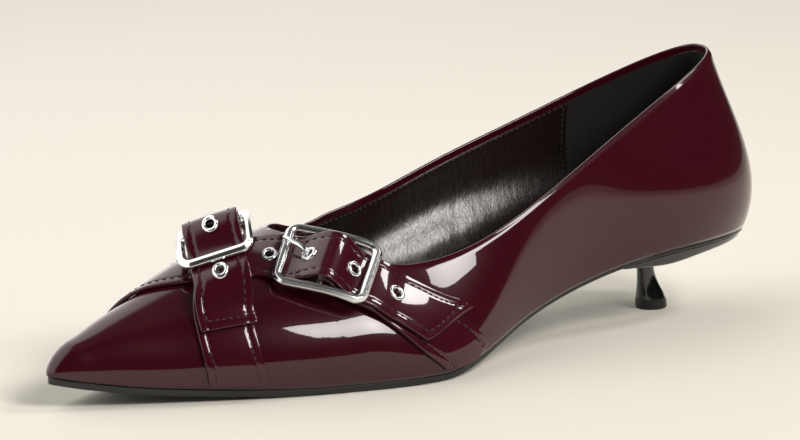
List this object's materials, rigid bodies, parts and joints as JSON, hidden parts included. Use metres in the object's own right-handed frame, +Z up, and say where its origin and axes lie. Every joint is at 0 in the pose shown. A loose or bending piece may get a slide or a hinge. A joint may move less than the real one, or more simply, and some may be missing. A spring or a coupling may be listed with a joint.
{
  "type": "kitten heel pump",
  "caption": "Pointed low-cut pump on a low waisted heel, hollow and open at the collar, with crossed buckled straps over the vamp.",
  "frame": {"origin": "on the floor, below the middle of the shoe's box", "axes": "+X from the toe to the heel, +Z up, -Y towards the outer (lateral) side"},
  "size_m": [0.2664, 0.0832, 0.0847],
  "materials": {
    "upper_leather": "high-shine patent burgundy leather",
    "strap_leather": "high-shine patent burgundy leather straps",
    "lining": "satin black-brown lining",
    "sole": "satin black resin sole",
    "heel_lacquer": "glossy black lacquer",
    "tip": "satin black rubber",
    "nickel": "polished nickel plate"
  },
  "bodies": {
    "root": {"upper": "upper_leather", "insole": "lining", "outsole": "sole", "heel": "heel_lacquer", "top_piece": "tip", "strap_a": "strap_leather", "strap_a_anchor": "strap_leather", "buckle_a": "nickel", "prong_a": "nickel", "eyelet_a_1": "nickel", "eyelet_a_2": "nickel", "eyelet_a_3": "nickel", "eyelet_a_4": "nickel", "strap_b": "strap_leather", "strap_b_anchor": "strap_leather", "buckle_b": "nickel", "prong_b": "nickel", "eyelet_b_1": "nickel", "eyelet_b_2": "nickel", "eyelet_b_3": "nickel", "eyelet_b_4": "nickel"}
  },
  "joints": []
}
